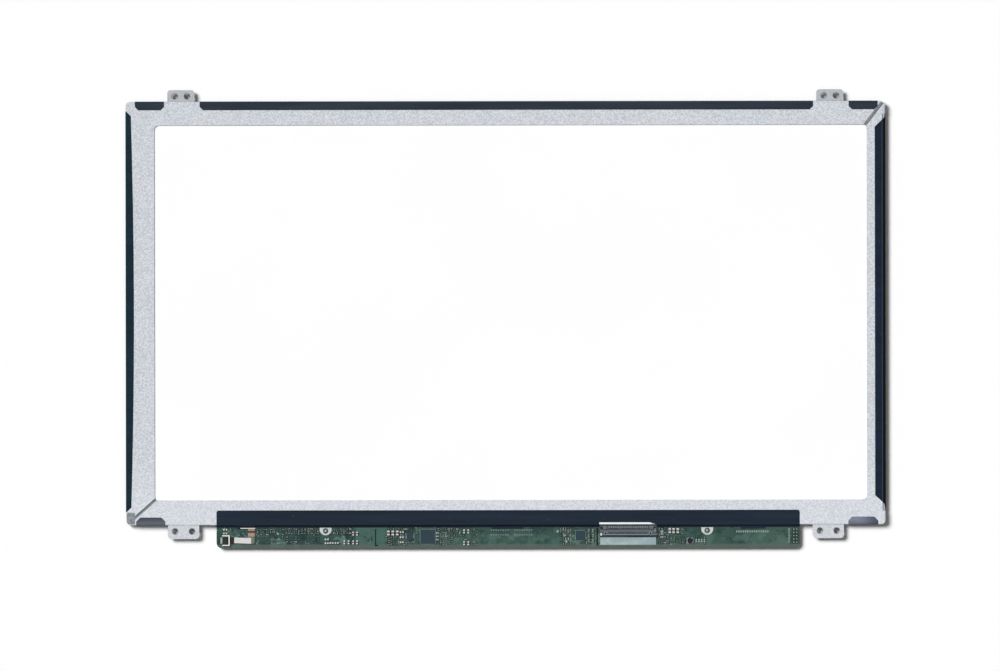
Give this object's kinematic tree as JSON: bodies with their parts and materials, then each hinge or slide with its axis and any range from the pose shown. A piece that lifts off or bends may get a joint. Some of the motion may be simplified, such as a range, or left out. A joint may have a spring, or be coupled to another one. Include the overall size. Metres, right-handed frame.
{
  "type": "laptop screen panel",
  "caption": "Flat wide laptop screen module, rear side up: pressed steel frame with screw ears, white rear sheet, black edge tapes and a narrow circuit board with a video connector.",
  "frame": {"origin": "under the middle of the outline, on the front face it lies on", "axes": "+X across the panel to the right as seen from the rear, +Y up the panel away from the circuit board, +Z out of the rear side"},
  "size_m": [0.3594, 0.2168, 0.0037],
  "materials": {
    "frame_steel": "galvanised sheet, fine speckle, satin",
    "black_tape": "black polyester tape, satin",
    "mould_plastic": "black moulded plastic, matte",
    "polariser": "dark film with an anti-glare face",
    "cell_glass": "thin display glass",
    "rim_adhesive": "black double-sided tape",
    "optical_film": "milky optical film",
    "light_guide": "clear acrylic",
    "reflector": "bright white film",
    "led_package": "white package with a yellow phosphor",
    "flex_film": "amber polyimide film",
    "label_paper": "plain white label",
    "stiffener": "thick polyimide stiffener",
    "driver_film": "amber polyimide film with copper",
    "driver_silicon": "bare dark silicon",
    "board_green": "dark green solder mask",
    "shell_metal": "dull plated steel",
    "white_plastic": "white moulded plastic",
    "latch_plastic": "black moulded plastic",
    "contact_metal": "plated copper alloy",
    "chip_black": "black moulding compound",
    "inductor_core": "dark grey ferrite",
    "tinned_pad": "tinned copper",
    "capacitor_ceramic": "tan ceramic",
    "resistor_ceramic": "black film on ceramic"
  },
  "bodies": {
    "panel": {"rear_frame_upper": "frame_steel", "rear_frame_lower": "frame_steel", "mould_frame": "mould_plastic", "front_polariser": "polariser", "colour_filter_glass": "cell_glass", "tft_glass": "cell_glass", "rear_polariser": "polariser", "rim_tape": "rim_adhesive", "upper_prism_sheet": "optical_film", "lower_prism_sheet": "optical_film", "diffuser_sheet": "optical_film", "light_guide_plate": "light_guide", "reflector_sheet": "reflector", "light_bar_leds": "led_package", "light_bar_flex": "flex_film", "flex_label": "label_paper", "flex_stiffener": "stiffener", "edge_tape_left": "black_tape", "edge_tape_top": "black_tape", "edge_tape_right": "black_tape", "edge_tape_bottom_left": "black_tape", "edge_tape_bottom_right": "black_tape", "driver_films": "driver_film", "driver_chips": "driver_silicon", "circuit_board": "board_green", "board_cover_tape": "black_tape", "video_connector_shell": "shell_metal", "video_connector_housing": "latch_plastic", "video_connector_contacts": "contact_metal", "light_bar_connector_housing": "white_plastic", "light_bar_connector_contacts": "contact_metal", "timing_chip": "chip_black", "power_chip": "chip_black", "memory_chip": "chip_black", "power_inductor": "inductor_core", "ground_pads": "tinned_pad", "capacitors": "capacitor_ceramic", "bulk_capacitors": "capacitor_ceramic", "resistors": "resistor_ceramic"},
    "latch": {"light_bar_connector_latch": "latch_plastic"}
  },
  "joints": [
    {"name": "latch_flip", "type": "hinge", "parent": "panel", "child": "latch", "pos_m": [-0.13195, -0.10475, 0.00311], "axis": [0, 1, 0], "range_deg": [0, 90]}
  ]
}
